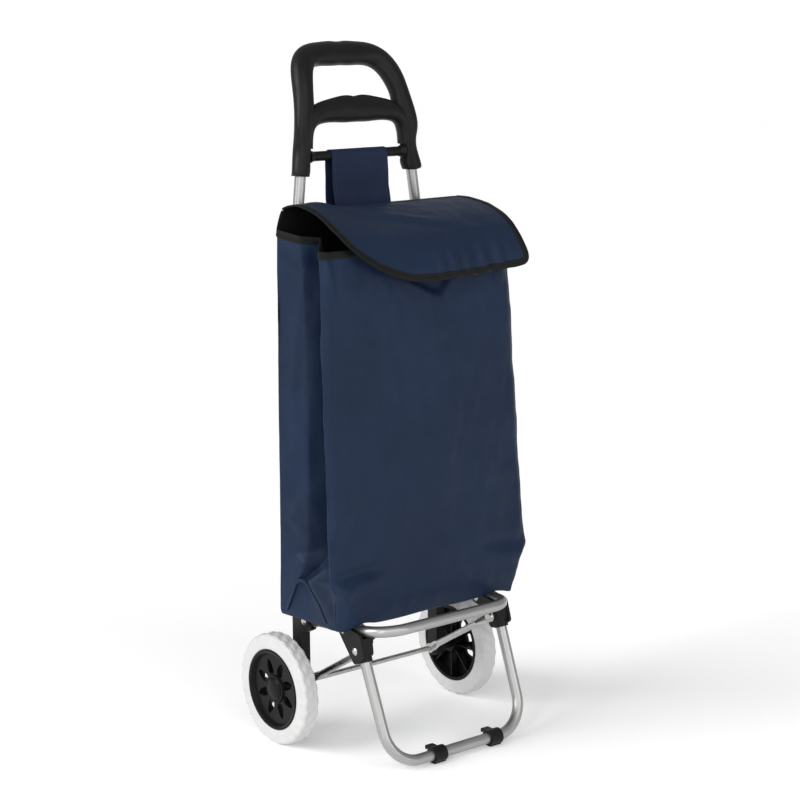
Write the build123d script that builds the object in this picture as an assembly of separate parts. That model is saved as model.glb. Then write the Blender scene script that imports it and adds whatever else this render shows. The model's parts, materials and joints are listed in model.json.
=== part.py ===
from build123d import *
import math
import os

# Folding shopping trolley on two wheels: a bent tube frame with a moulded D handle, a tubular
# shelf and a U-shaped front leg that fold up together, and a soft bag hung from the handle rod.
#
# Working frame in this file: X to the user's right when standing in front of the bag, the axle at
# y = 0, the front of the trolley towards -Y, the ground at z = 0. The files are written with the
# axle moved to y = AXLE_Y, which puts the origin under the middle of the whole object.

AXLE_Y = 67.9

# wheels
WHEEL_R = 82.5
WHEEL_X = 169.0          # middle plane of each wheel
TYRE_W = 27.0
HUB_R = 59.5             # seat of the tyre on the hub
AXLE_R = 4.0
AXLE_HALF = 179.6
BORE_GAP = 0.06          # running clearance on a turning pin
LEAVES = 8
HUB_RIBS = 8

# frame tubes
TUBE_R = 8.0
TUBE_BORE = 6.8
UPRIGHT_X = 128.0
LEAN = math.radians(2.0)         # the uprights lean backwards
TUCK = math.radians(7.1)         # and lean inwards above the bend
LEAN_Z = 200.0                   # height at which the upright is right above the axle
BEND_Z = 602.0
UPRIGHT_FOOT_Z = 225.5
SOCKET_Z = 819.0                 # lower end of the handle sockets
TUBE_TOP_Z = 862.0

# pivots of the folding front, as (y, z)
P_SHELF = (-17.0, 181.0)         # shelf on the axle brackets
P_LEG = (-112.5, 191.2)          # leg joint on the shelf
P_STRUT = (-141.5, 167.0)        # strut on the leg joint
RIVET_R = 3.0

# shelf loop
SHELF_X = 123.0
SHELF_FRONT = (-184.0, 198.8)    # middle of the front bar (y, z)
SHELF_BEND = 43.0

# leg loop
LEG_TILT = math.radians(21.3)
LEG_TOP = (-148.0, 162.0)        # a point of the leg's plane (y, z)
LEG_X_TOP = 127.7
LEG_X_LOW = 124.0
LEG_BAR_Z = 11.6
LEG_BEND = 50.0
CLIP_X = {"left": -42.0, "right": 63.0}     # the clips slide on the bar
CLIP_W = 21.0

# handle
HANDLE_TOP_Z = 988.0             # middle of the top grip
LEAN_START_Z = 890.0             # the handle starts to curve backwards here
LEAN_R = 150.0
ROD_Z = 846.0
ROD_R = 7.0

# bag
CLOTH = 1.5
BAG_LOW_Z = 204.6
BAG_BELLY_Z = 300.0
BAG_TOP_Z = 751.0                # top of the hem at the back
BAG_FRONT_TOP_Z = 728.0          # top of the hem at the front
BACK_Y = -12.0
HEM = 10.0
# half of the plan shape at three heights: z, back corner, fold of the side pleat, front corner
BAG_PLAN = (
    (BAG_LOW_Z, (166.0, -12.0), (139.0, -74.0), (160.0, -140.0)),
    (BAG_BELLY_Z, (170.0, -12.0), (146.0, -78.0), (182.5, -143.5)),
    (790.0, (170.0, -12.0), (140.0, -61.0), (166.0, -110.0)),
)
FLAP_HALF = 175.0
STRAP_HALF = 50.0


def at(y, z, x=0.0):
    return Vector(x, y, z)


def both(part):
    """The part and its mirror image in the middle plane."""
    return part, mirror(part, about=Plane.YZ)


def pin(x0, x1, yz, r):
    """A round pin along X from x0 to x1."""
    plane = Plane(origin=(x0, yz[0], yz[1]), x_dir=(0, 1, 0), z_dir=(1, 0, 0))
    return Solid.make_cylinder(r, x1 - x0, plane)


def dome(x, yz, r, h, way):
    """A low rivet head standing on the plane at x, pointing along way (+1 or -1)."""
    plane = Plane(origin=(x, yz[0], yz[1]), x_dir=(0, 1, 0), z_dir=(way, 0, 0))
    head = Solid.make_cone(r, r * 0.55, h, plane)
    return fillet(head.edges().sort_by(Axis.X)[-1 if way > 0 else 0], h * 0.6)


def extrude_x(face_yz, x0, x1):
    """Extrude a face drawn as (y, z) from x0 to x1."""
    plane = Plane(origin=(x0, 0, 0), x_dir=(0, 1, 0), z_dir=(1, 0, 0))
    return extrude(plane * face_yz, amount=x1 - x0)


def swept_tube(path, r_out, r_in):
    start = Plane(origin=path @ 0, z_dir=path % 0)
    outer = sweep(start * Circle(r_out), path=path)
    inner = sweep(start * Circle(r_in), path=path)
    return outer - inner


def write(name, shape):
    solids = [s for s in shape.solids()] if hasattr(shape, "solids") else [shape]
    moved = [Pos(0, AXLE_Y, 0) * s for s in solids]
    shape = moved[0] if len(moved) == 1 else Compound(children=moved)
    export_step(shape, f"parts/{name}.step")


# ---------------------------------------------------------------- wheels
def ring(profile):
    """Revolve a profile drawn as (radius, distance outwards from the wheel's middle plane)."""
    plane = Plane(origin=(WHEEL_X, 0, WHEEL_R), x_dir=(0, 0, 1), z_dir=(0, 1, 0))
    face = plane * make_face(Polyline(*profile, close=True))
    return revolve(face, axis=Axis((WHEEL_X, 0, WHEEL_R), (1, 0, 0)))


def tyre():
    h = TYRE_W / 2
    body = ring([(HUB_R + 0.05, -h), (WHEEL_R, -h), (WHEEL_R, h), (HUB_R + 0.05, h)])
    rims = body.edges().filter_by(GeomType.CIRCLE).sort_by(lambda e: e.radius)[-2:]
    return fillet(rims, 6.0)


def leaf_cutter(angle):
    """A leaf-shaped hole: round towards the middle of the hub, pointed towards the rim."""
    inner_r, tip_r, half = 28.0, 45.5, 6.6
    leaf = make_face(
        Spline((inner_r - half, 0), (inner_r, half), (inner_r + 7.5, half * 0.86), (tip_r, 0),
               tangents=((0, 1), (1, -1)))
        + Spline((tip_r, 0), (inner_r + 7.5, -half * 0.86), (inner_r, -half), (inner_r - half, 0),
                 tangents=((-1, -1), (0, 1)))
    )
    plane = Plane(origin=(WHEEL_X, 0, WHEEL_R), x_dir=(0, math.cos(angle), math.sin(angle)),
                  z_dir=(1, 0, 0))
    return extrude(plane * leaf, amount=20)


def hub():
    """Spoked plastic hub: rim barrel, dished web near the outer face, boss and back ribs."""
    h = TYRE_W / 2
    bore = AXLE_R + BORE_GAP
    web = ring([
        (bore, -h - 2.5), (13.0, -h - 2.5), (14.0, 2.0), (53.5, 3.0), (55.0, -h), (HUB_R, -h),
        (HUB_R, h - 0.4), (57.5, h + 0.4), (54.0, h - 1.0), (51.5, 7.4), (21.0, 6.6),
        (20.0, 9.4), (17.6, 9.4), (17.0, 6.2), (bore, 6.2),
    ])
    for i in range(LEAVES):
        web -= leaf_cutter(2 * math.pi * (i + 0.5) / LEAVES)
    for i in range(HUB_RIBS):
        a = 2 * math.pi * i / HUB_RIBS
        plane = Plane(origin=(WHEEL_X - 10.5, 0, WHEEL_R), x_dir=(0, math.cos(a), math.sin(a)),
                      z_dir=(1, 0, 0))
        rib = extrude(plane * Pos(33.5, 0) * Rectangle(42.0, 2.4), amount=14.0)
        web += rib
    return web


def hub_cap():
    """Domed cap that snaps into the middle of the hub and hides the axle end."""
    return ring([(0, 11.4), (13.0, 11.4), (13.8, 6.4), (16.8, 6.4), (16.8, 9.6), (15.6, 10.6),
                 (12.6, 11.9), (8.0, 12.9), (0, 13.4)])


def push_nut():
    return ring([(AXLE_R + 0.02, 6.6), (9.5, 6.6), (9.5, 7.6), (6.5, 9.0), (AXLE_R + 0.02, 9.6)])


def axle_sleeve():
    """Plastic sleeve that keeps the wheel away from the bracket."""
    return pin(136.4, 152.6, (0, WHEEL_R), 7.2) - pin(136.0, 153.0, (0, WHEEL_R), AXLE_R + 0.05)


axle = pin(-AXLE_HALF, AXLE_HALF, (0, WHEEL_R), AXLE_R)
axle = chamfer(axle.edges(), 0.8)


# ---------------------------------------------------------------- uprights and their brackets
def upright_y(z):
    return (z - LEAN_Z) * math.tan(LEAN)


def upright_x(z):
    return UPRIGHT_X - max(0.0, z - BEND_Z) * math.tan(TUCK)


def upright_point(z):
    return at(upright_y(z), z, upright_x(z))


def upright():
    path = FilletPolyline(*[upright_point(z) for z in (UPRIGHT_FOOT_Z, BEND_Z, TUBE_TOP_Z)],
                          radius=90)
    tube = swept_tube(path, TUBE_R, TUBE_BORE)
    hole = pin(UPRIGHT_X - 12, UPRIGHT_X + 12, (upright_y(240), 240), 2.45)
    return tube - hole


def axle_bracket():
    """Moulded bracket: axle eye, column, forked lugs for the shelf and a spigot for the tube."""
    column = make_face(Polyline(
        (-10.5, WHEEL_R), (-10.5, 160.0), (-22.0, 166.0), (-26.5, 173.0), (-26.5, 186.0),
        (-22.0, 190.5), (-9.0, 190.5), (-8.6, 213.0), (10.5, 213.0), (10.5, WHEEL_R), close=True))
    body = extrude_x(column, 120.0, 136.0)
    body += extrude_x(Pos(0, WHEEL_R) * Circle(12.5), 120.0, 136.0)
    lug = make_face(Polyline((-22.0, 166.0), (-26.5, 173.0), (-26.5, 186.0), (-22.0, 190.5),
                             (-6.0, 190.5), (-6.0, 166.0), close=True))
    body += extrude_x(lug, 118.0, 120.0)
    # slot of the fork, in which the flattened end of the shelf tube turns
    slot = make_face(Polyline((-40.0, 160.0), (-40.0, 200.0), (-8.6, 200.0), (-8.6, 171.5),
                              (-14.0, 168.5), (-30.0, 168.5), (-30.0, 160.0), close=True))
    body -= extrude_x(slot, 121.8, 128.2)
    axis = Plane(origin=at(upright_y(212.0), 212.0, UPRIGHT_X),
                 z_dir=(0, math.sin(LEAN), math.cos(LEAN)))
    body += Solid.make_cylinder(10.4, 13.0, axis)
    body += Solid.make_cylinder(TUBE_BORE - 0.1, 50.0, axis)
    body -= pin(110.0, 145.0, (0, WHEEL_R), AXLE_R + 0.02)
    body -= pin(110.0, 145.0, P_SHELF, RIVET_R + 0.01)
    body -= pin(110.0, 145.0, (upright_y(240), 240), 2.45)
    return body


def bracket_rivet():
    yz = (upright_y(240), 240)
    x0, x1 = UPRIGHT_X - TUBE_R - 0.2, UPRIGHT_X + TUBE_R + 0.2
    return pin(x0, x1, yz, 2.4) + dome(x1, yz, 4.5, 1.8, 1) + dome(x0, yz, 4.5, 1.8, -1)


def shelf_rivet():
    return pin(118.2, 136.1, P_SHELF, RIVET_R) + dome(136.1, P_SHELF, 5.5, 2.0, 1)


# ---------------------------------------------------------------- shelf
SHELF_RISE = math.atan2(SHELF_FRONT[1] - P_SHELF[1], P_SHELF[0] - SHELF_FRONT[0])
SHELF_LEN = math.hypot(SHELF_FRONT[1] - P_SHELF[1], P_SHELF[0] - SHELF_FRONT[0])
SHELF_PLANE = Plane(origin=(0, *P_SHELF), x_dir=(1, 0, 0),
                    z_dir=(0, math.sin(SHELF_RISE), math.cos(SHELF_RISE)))


def on_shelf(x, forward, up=0.0):
    return SHELF_PLANE.from_local_coords(Vector(x, -forward, up))


SHELF_PATH = FilletPolyline(*[on_shelf(x, f) for x, f in (
    (SHELF_X, 11.0), (SHELF_X, SHELF_LEN), (-SHELF_X, SHELF_LEN), (-SHELF_X, 11.0))],
    radius=SHELF_BEND)


def shelf():
    loop = swept_tube(SHELF_PATH, TUBE_R, TUBE_BORE)
    # each end is pressed flat into a tongue with a round end
    tongue = SHELF_PLANE * Pos(125.0, 0, 0) * Rot(0, 90, 0) * extrude(
        Circle(TUBE_R) + Pos(0, -10) * Rectangle(2 * TUBE_R, 20.0), amount=2.9, both=True)
    plug = SHELF_PLANE * Pos(SHELF_X, -15.5, 0) * Rot(90, 0, 0) * Cylinder(TUBE_R, 9.0)
    for end in (tongue, plug):
        for piece in both(end):
            loop += piece
    for x in (110.0, -140.0):
        loop -= pin(x, x + 30.0, P_SHELF, RIVET_R + BORE_GAP)
        loop -= pin(x, x + 30.0, P_LEG, RIVET_R + BORE_GAP)
    return loop


# ---------------------------------------------------------------- leg
LEG_PLANE = Plane(origin=(0, *LEG_TOP), x_dir=(1, 0, 0),
                  z_dir=(0, -math.cos(LEG_TILT), math.sin(LEG_TILT)))
LEG_DROP = (LEG_TOP[1] - LEG_BAR_Z) / math.cos(LEG_TILT)
LEG_BAR = (LEG_TOP[0] - LEG_DROP * math.sin(LEG_TILT), LEG_BAR_Z)


def on_leg(x, up, out=0.0):
    return LEG_PLANE.from_local_coords(Vector(x, up, out))


def leg():
    path = FilletPolyline(*[on_leg(x, u) for x, u in (
        (LEG_X_TOP, 12.0), (LEG_X_LOW, -LEG_DROP), (-LEG_X_LOW, -LEG_DROP), (-LEG_X_TOP, 12.0))],
        radius=LEG_BEND)
    return swept_tube(path, TUBE_R, TUBE_BORE)


CHEEK_IN = (110.5, 114.3)        # inner cheek of the leg joint, from x to x
CHEEK_OUT = (133.9, 138.4)       # outer cheek
BLOCK_IN = 117.4                 # inner face of the joint below the shelf tube
HEAD_X = 136.2                   # the outer strut rivet starts beyond the leg tube


def leg_joint():
    """Moulded joint: two cheeks beside the shelf tube over a socket for the leg tube."""
    outer = make_hull([e for y, z, r in (
        (*P_LEG, 8.5), (*P_STRUT, 9.5), (-142.0, 156.0, 7.5), (-147.0, 187.5, 7.0),
        (-155.5, 164.0, 6.0)) for e in (Pos(y, z) * Circle(r)).edges()])
    inner = make_hull([e for y, z, r in (
        (*P_LEG, 8.5), (-147.0, 187.5, 7.0), (-140.0, 182.5, 5.0))
        for e in (Pos(y, z) * Circle(r)).edges()])
    body = extrude_x(outer, *CHEEK_OUT) + extrude_x(inner, *CHEEK_IN)
    axis = Plane(origin=on_leg(LEG_X_TOP - 0.3, -11.0), z_dir=LEG_PLANE.y_dir)
    # below the tube the joint is solid; its upper face is the stop that the shelf tube rests on
    block = Solid.make_cylinder(10.7, 40.0, axis) & extrude_x(
        Pos(-150.0, 165.0) * Rectangle(90.0, 90.0), BLOCK_IN, 145.0)
    core = make_hull([e for y, z, r in (
        (*P_STRUT, 8.0), (-142.0, 157.0, 7.0), (-135.0, 186.0, 3.0), (-152.0, 186.0, 3.0),
        (-154.0, 165.0, 4.0)) for e in (Pos(y, z) * Circle(r)).edges()])
    block += extrude_x(core, BLOCK_IN, CHEEK_OUT[0] + 1.0)
    shoulder = make_face(Polyline((-133.0, 177.0), (-152.0, 177.0), (-152.0, 190.0),
                                  (-131.0, 190.0), close=True))
    block += extrude_x(shoulder, CHEEK_IN[1] - 1.0, BLOCK_IN + 1.0)
    body += block - SHELF_PLANE * Pos(SHELF_X, -120.0, 92.0 - TUBE_R - 0.5) * Box(80, 180, 184)
    bore_path = Line(on_leg(LEG_X_TOP + 0.27, 13.0), on_leg(LEG_X_TOP - 0.69, -32.0))
    bore = sweep(Plane(origin=bore_path @ 0, z_dir=bore_path % 0) * Circle(TUBE_R + 0.05),
                 path=bore_path)
    body -= bore
    body -= sweep(Plane(origin=SHELF_PATH @ 0, z_dir=SHELF_PATH % 0) * Circle(TUBE_R + 0.4),
                  path=SHELF_PATH)
    body -= pin(100, 145, P_LEG, RIVET_R + 0.01)
    body -= pin(HEAD_X, 145, P_STRUT, RIVET_R + 0.01)
    return body


def leg_rivets():
    """Pivot rivet of each joint and the head of the strut rivet on its outer cheek."""
    x0, x1 = CHEEK_IN[0] - 0.1, CHEEK_OUT[1] + 0.1
    pivot = pin(x0, x1, P_LEG, RIVET_R) + dome(x1, P_LEG, 5.0, 1.8, 1) + dome(
        x0, P_LEG, 5.5, 1.8, -1)
    head = pin(HEAD_X + 0.1, x1, P_STRUT, RIVET_R) + dome(x1, P_STRUT, 5.5, 1.8, 1)
    return pivot, head


def foot_clip(x):
    """Ring that snaps over the bottom bar, with a flat sole and a short hook at the back."""
    y, z = LEG_BAR
    outline = Circle(LEG_BAR_Z) + Pos(0, -LEG_BAR_Z / 2) * Rectangle(12.0, LEG_BAR_Z)
    clip = extrude_x(Pos(y, z) * (outline - Circle(TUBE_R + 0.05)),
                     x - CLIP_W / 2, x + CLIP_W / 2)
    hook = Pos(9.5, 9.4) * Rectangle(11.0, 3.0) + Pos(14.0, 8.2) * Rectangle(2.4, 5.4)
    hook -= Circle(TUBE_R + 1.0)
    return clip + extrude_x(Pos(y, z) * hook, x - CLIP_W / 2, x + 3.0)


# ---------------------------------------------------------------- struts
STRUT_R = 5.0


EYE_X = 115.9                    # middle of the flattened ends
STRUT_X = 112.0                  # the round tube runs a little further in
EYE_T = 1.2                      # half of the flattened thickness


def strut():
    """Tube with flattened ends, from the axle to the leg joint."""
    a, b = at(0, WHEEL_R, EYE_X), at(*P_STRUT, EYE_X)
    way, length = (b - a).normalized(), (b - a).length
    across = Vector(0, -way.Z, way.Y)
    profile = ((2.0, 6.4, 1.1, 0.0), (12.0, 6.6, 1.1, 0.0), (20.0, 6.0, 2.6, 0.5),
               (30.0, STRUT_R, STRUT_R, 1.0))
    stations = [*profile, *((length - d, w, t, shift) for d, w, t, shift in reversed(profile))]
    body = loft([Plane(origin=a + way * d - Vector((EYE_X - STRUT_X) * shift, 0, 0),
                       x_dir=across, z_dir=way) * Ellipse(w, t)
                 for d, w, t, shift in stations], ruled=True)
    for yz in ((0, WHEEL_R), P_STRUT):
        body += pin(EYE_X - EYE_T, EYE_X + EYE_T, yz, 7.5)
    body -= pin(EYE_X - 20, EYE_X + 20, (0, WHEEL_R), AXLE_R + BORE_GAP)
    body -= pin(EYE_X - 20, EYE_X + 20, P_STRUT, RIVET_R + 0.01)
    return body


def strut_rivet():
    """Rivet in the strut's upper eye. It stops just short of the joint."""
    x0, x1 = EYE_X - EYE_T - 0.1, BLOCK_IN - 0.3
    return pin(x0, x1, P_STRUT, RIVET_R) + dome(x0, P_STRUT, 5.6, 2.0, -1)


# ---------------------------------------------------------------- handle
HANDLE_BASE_H = 870.0
HANDLE_TOP_H = LEAN_START_Z + LEAN_R * math.asin((HANDLE_TOP_Z - LEAN_START_Z) / LEAN_R)


def handle_point(x, h):
    """A point of the handle's curved middle surface, at height h measured along the curve."""
    if h <= LEAN_START_Z:
        return at(upright_y(h), h, x)
    turn = (h - LEAN_START_Z) / LEAN_R
    z = LEAN_START_Z + LEAN_R * math.sin(turn)
    return at(upright_y(z) + LEAN_R * (1 - math.cos(turn)), z, x)


def grip_arch(half, base, top, power, taper, angle):
    """A point on a D-shaped arch in the handle's surface, from one arm (0) over to the other."""
    c, s = math.cos(angle), math.sin(angle)
    h = base + (top - base) * abs(s) ** (2 / power)
    x = (half - taper * (h - base)) * math.copysign(abs(c) ** (2 / power), c)
    return x, h


def lofted_grip(spots, widths):
    """Loft elliptical sections square to the line of spots; widths are (in plane, thickness)."""
    points = [handle_point(x, h) for x, h in spots]
    sections = []
    for i, p in enumerate(points):
        before, after = points[max(i - 1, 0)], points[min(i + 1, len(points) - 1)]
        way = (after - before).normalized()
        x, h = spots[i]
        normal = (handle_point(x, h + 1.0) - handle_point(x, h)).cross(Vector(1, 0, 0))
        side = way.cross(normal).normalized()
        w, t = widths[i]
        sections.append(Plane(origin=p, x_dir=side, z_dir=way) * Ellipse(w / 2, t / 2))
    return loft(sections)


def handle():
    steps = 18
    arch = [grip_arch(94.6, HANDLE_BASE_H, HANDLE_TOP_H, 5.0, 0.125, math.pi * i / steps)
            for i in range(1, steps)]
    arm = [(upright_x(z), z) for z in (SOCKET_Z, SOCKET_Z + 22.0, SOCKET_Z + 44.0)]
    spots = arm + arch + [(-x, h) for x, h in reversed(arm)]
    widths = []
    for x, h in spots:
        grow = max(0.0, (h - SOCKET_Z - 30.0) / (HANDLE_TOP_H - SOCKET_Z - 30.0))
        widths.append((25.0 + 11.0 * grow ** 1.7, 27.5 + 4.0 * grow))
    body = lofted_grip(spots, widths)
    steps = 12
    low = [grip_arch(91.0, 858.0, 910.0, 3.8, 0.06, math.pi * i / steps)
           for i in range(0, steps + 1)]
    low_widths = [(22.0 + 15.0 * (1 - abs(x / 91.0) ** 2), 25.0 + 4.0 * (1 - abs(x / 91.0)))
                  for x, h in low]
    body += lofted_grip(low, low_widths)
    rod_y = upright_y(ROD_Z)
    body += pin(-92.0, 92.0, (rod_y, ROD_Z), ROD_R)
    for end, way in ((-86.0, 1), (86.0, -1)):
        plane = Plane(origin=(end, rod_y, ROD_Z), x_dir=(0, 1, 0), z_dir=(way, 0, 0))
        body += Solid.make_cone(10.5, ROD_R - 0.2, 9.0, plane)
    for side in (1, -1):
        line = Line(*[at(upright_y(z), z, side * upright_x(z))
                      for z in (SOCKET_Z - 20.0, TUBE_TOP_Z + 0.5)])
        body -= sweep(Plane(origin=line @ 0, z_dir=line % 0) * Circle(TUBE_R + 0.05), path=line)
        body -= screw_shape(side, 0.02)
    # flat lower ends of the two sockets
    return body - Pos(0, 0, SOCKET_Z - 40.0) * Box(400, 200, 80)


def screw_shape(side, gap=0.0):
    """Self-tapping screw through the back of a socket into the tube."""
    x, y, z = side * upright_x(834.0), upright_y(834.0), 834.0
    plane = Plane(origin=(x, y + 9.2, z), x_dir=(1, 0, 0), z_dir=(0, 1, 0))
    shank = Solid.make_cylinder(1.9 + gap, 6.0, plane)
    head_plane = Plane(origin=(x, y + 13.2 - gap, z), x_dir=(1, 0, 0), z_dir=(0, 1, 0))
    return shank + Solid.make_cylinder(4.0 + gap, 1.9 + 4 * gap, head_plane)


# ---------------------------------------------------------------- bag
def side_wall(plan, depth, grow=0.0):
    """One pleated side: loft a V-shaped strip through the plan at each height."""
    sections = []
    for z, back, fold, front in plan:
        shape = [(back[0] + grow, back[1] - 0.1), (fold[0] + grow, fold[1]),
                 (front[0] + grow, front[1] + CLOTH + 0.1)]
        inner = [(x - depth, y) for x, y in reversed(shape)]
        sections.append(Pos(0, 0, z) * make_face(Polyline(*shape, *inner, close=True)))
    return loft(sections, ruled=True)


def front_wall(plan, depth, grow=0.0):
    sections = []
    for z, _, _, front in plan:
        x, y = front[0] + grow, front[1] - grow
        shape = [(-x, y), (x, y), (x, y + depth), (-x, y + depth)]
        sections.append(Pos(0, 0, z) * make_face(Polyline(*shape, close=True)))
    return loft(sections, ruled=True)


def below_hem(drop):
    """A block under the sloping top edge of the bag, lowered by drop."""
    back_z, front_z = BAG_TOP_Z - drop, BAG_FRONT_TOP_Z - drop
    slope = (back_z - front_z) / 105.0
    edge = make_face(Polyline((40, back_z + 52 * slope), (-200, front_z - 83 * slope), (-200, 0),
                              (40, 0), close=True))
    return extrude_x(edge, -260.0, 260.0)


def bag_side():
    return side_wall(BAG_PLAN, 1.7) & below_hem(HEM + 0.1)


def bag_front():
    return front_wall(BAG_PLAN, CLOTH) & below_hem(HEM + 0.1)


def bag_back():
    """Back wall, which runs up above the hem to where the flap is sewn on."""
    edge = make_face(Polyline(
        (-165.0, BAG_LOW_Z), (165.0, BAG_LOW_Z), (168.5, BAG_BELLY_Z), (168.5, 740.0),
        (163.0, 762.0), (155.0, 777.6), (-155.0, 777.6), (-163.0, 762.0), (-168.5, 740.0),
        (-168.5, BAG_BELLY_Z), close=True))
    plane = Plane(origin=(0, BACK_Y, 0), x_dir=(1, 0, 0), z_dir=(0, -1, 0))
    return extrude(plane * edge, amount=-CLOTH)


def bag_bottom():
    _, back, fold, front = BAG_PLAN[0]
    half = [(back[0] - 2.4, back[1] - 0.4), (fold[0] - 2.4, fold[1]),
            (front[0] - 2.4, front[1] + CLOTH + 0.3)]
    outline = half + [(-x, y) for x, y in reversed(half)]
    return extrude(Pos(0, 0, BAG_LOW_Z) * make_face(Polyline(*outline, close=True)), amount=2.0)


def hem_binding():
    """Bias tape folded over the top edge of the front and of both sides."""
    band = below_hem(0.0) - below_hem(HEM)
    tape = front_wall(BAG_PLAN, CLOTH + 2.0, 1.0)
    side = side_wall(BAG_PLAN, 3.7, 1.0)
    for piece in both(side):
        tape += piece
    tape &= band
    # the corner of each side starts behind the front strip, so a small gusset joins them
    x, y = 168.9, -116.4
    for s in (1, -1):
        tape += (Pos(s * (x - 1.2), y + 1.6, 723.0) * Box(3.0, 3.4, 9.0)) & band
    return tape


def strap():
    """Hanger loop: up from the back wall, over the handle rod and down again."""
    y, r = upright_y(ROD_Z), ROD_R + 0.4
    outer = [(-9.8, 668.0), (-9.8, 690.0), (y - r - CLOTH - 1.0, 779.0), (y - r - CLOTH, ROD_Z)]
    back = [(y + r + CLOTH, ROD_Z), (y + r + CLOTH - 1.0, 779.0), (-4.6, 688.0), (-6.8, 668.0)]
    shape = make_face(Polyline(*outer) + ThreePointArc(outer[-1], (y, ROD_Z + r + CLOTH), back[0])
                      + Polyline(*back, outer[0]))
    inner = [(-8.2, 690.4), (y - r - 1.0, 779.0), (y - r, ROD_Z)]
    inner_back = [(y + r, ROD_Z), (y + r - 1.0, 779.0), (-6.2, 688.4)]
    hole = make_face(Polyline(*inner) + ThreePointArc(inner[-1], (y, ROD_Z + r), inner_back[0])
                     + Polyline(*inner_back, inner[0]))
    return extrude_x(shape - hole, -STRAP_HALF, STRAP_HALF)


# ---------------------------------------------------------------- flap
FLAP_LINE = [(-11.4, 779.4), (-45.0, 773.0), (-85.0, 763.0), (-114.0, 748.0), (-133.0, 727.0),
             (-143.0, 690.0)]
FLAP_BINDING = 9.0
FLAP_CORNER = 34.0


def flap_band(thick):
    """The flap's bent sheet, extruded over its whole width."""
    line = Spline(*FLAP_LINE)
    strip = []
    for side in (0.5, -0.5):
        strip.append([])
        for i in range(13):
            t = i / 12
            p, d = line @ t, line % t
            n = Vector(-d.Y, d.X)
            strip[-1].append((p.X + n.X * side * thick, p.Y + n.Y * side * thick))
    strip[1].reverse()
    outline = Spline(*strip[0]) + Line(strip[0][-1], strip[1][0]) + Spline(*strip[1]) + Line(
        strip[1][-1], strip[0][0])
    return extrude_x(make_face(outline), -200.0, 200.0)


def flap_outline(inset):
    """Front view of the flap, with rounded lower corners, as a block along Y."""
    half = FLAP_HALF - inset
    low = FLAP_LINE[-1][1] + 0.5 + inset
    shape = Pos(0, (low + 800.0) / 2) * Rectangle(2 * half, 800.0 - low)
    corners = shape.vertices().sort_by(Axis.Y)[:2]
    shape = fillet(corners, FLAP_CORNER - inset)
    plane = Plane(origin=(0, 20.0, 0), x_dir=(1, 0, 0), z_dir=(0, -1, 0))
    return extrude(plane * shape, amount=200.0)


def flap():
    return flap_band(1.6) & flap_outline(FLAP_BINDING)


def flap_binding():
    return (flap_band(3.2) & flap_outline(0.0)) - flap_outline(FLAP_BINDING)


# ---------------------------------------------------------------- write the files
os.makedirs("parts", exist_ok=True)

pairs = {
    "wheel_hub": hub(), "tyre": tyre(), "hub_cap": hub_cap(), "upright_tube": upright(),
    "axle_bracket": axle_bracket(), "leg_joint": leg_joint(), "strut": strut(),
    "bag_side": bag_side(),
}
for name, shape in pairs.items():
    right, left = both(shape)
    write(f"{name}_right", right)
    write(f"{name}_left", left)
for side, x in CLIP_X.items():
    write(f"foot_clip_{side}", foot_clip(x))

leg_pivot, strut_head = leg_rivets()
groups = {
    "axle_push_nuts": [push_nut()], "axle_sleeves": [axle_sleeve()],
    "bracket_rivets": [bracket_rivet()], "shelf_pivot_rivets": [shelf_rivet()],
    "leg_joint_rivets": [leg_pivot, strut_head], "strut_rivets": [strut_rivet()],
    "handle_screws": [screw_shape(1)],
}
for name, shapes in groups.items():
    solids = [s for shape in shapes for side in both(shape) for s in side.solids()]
    write(name, Compound(children=solids))

singles = {
    "axle": axle, "shelf_loop": shelf(), "leg_loop": leg(), "handle": handle(),
    "bag_front_panel": bag_front(), "bag_back_panel": bag_back(), "bag_bottom": bag_bottom(),
    "bag_hem_binding": hem_binding(), "bag_strap": strap(), "flap": flap(),
    "flap_binding": flap_binding(),
}
for name, shape in singles.items():
    write(name, shape)
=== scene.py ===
import json
import math

import bmesh
import bpy
import numpy as np
from mathutils import Matrix, Vector, noise

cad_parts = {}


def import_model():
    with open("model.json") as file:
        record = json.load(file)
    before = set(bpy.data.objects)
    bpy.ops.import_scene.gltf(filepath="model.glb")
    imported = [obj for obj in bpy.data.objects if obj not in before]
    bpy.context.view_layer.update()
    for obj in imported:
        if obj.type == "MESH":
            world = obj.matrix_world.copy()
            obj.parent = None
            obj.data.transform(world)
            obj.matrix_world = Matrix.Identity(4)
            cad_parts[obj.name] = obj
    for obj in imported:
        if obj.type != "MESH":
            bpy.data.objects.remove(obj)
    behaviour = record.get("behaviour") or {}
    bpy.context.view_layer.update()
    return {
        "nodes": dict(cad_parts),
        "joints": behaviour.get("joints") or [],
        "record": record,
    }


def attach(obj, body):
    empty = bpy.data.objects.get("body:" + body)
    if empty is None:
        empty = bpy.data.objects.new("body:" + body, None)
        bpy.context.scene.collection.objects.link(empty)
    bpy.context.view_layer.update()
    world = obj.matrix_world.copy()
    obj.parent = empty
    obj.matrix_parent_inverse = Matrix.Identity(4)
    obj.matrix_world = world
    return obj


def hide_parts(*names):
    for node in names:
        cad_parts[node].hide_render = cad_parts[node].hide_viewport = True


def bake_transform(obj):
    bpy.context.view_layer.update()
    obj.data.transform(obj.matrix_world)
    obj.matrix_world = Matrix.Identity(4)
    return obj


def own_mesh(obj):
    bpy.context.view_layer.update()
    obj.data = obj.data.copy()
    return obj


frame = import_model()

# Everything below is drawn in millimetres, with the axle at y = 0, and moved into the row frame by
# world(). X points to the right of a person who looks at the bag's front, the front is towards -Y.
# The piece names call the side at -X left.
MM = 0.001
AXLE_Y = next(j["pos_m"][1] for j in frame["joints"] if j["name"] == "wheel_left_spin")
WHEEL_R = 82.5                         # outer radius of the tyre
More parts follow.
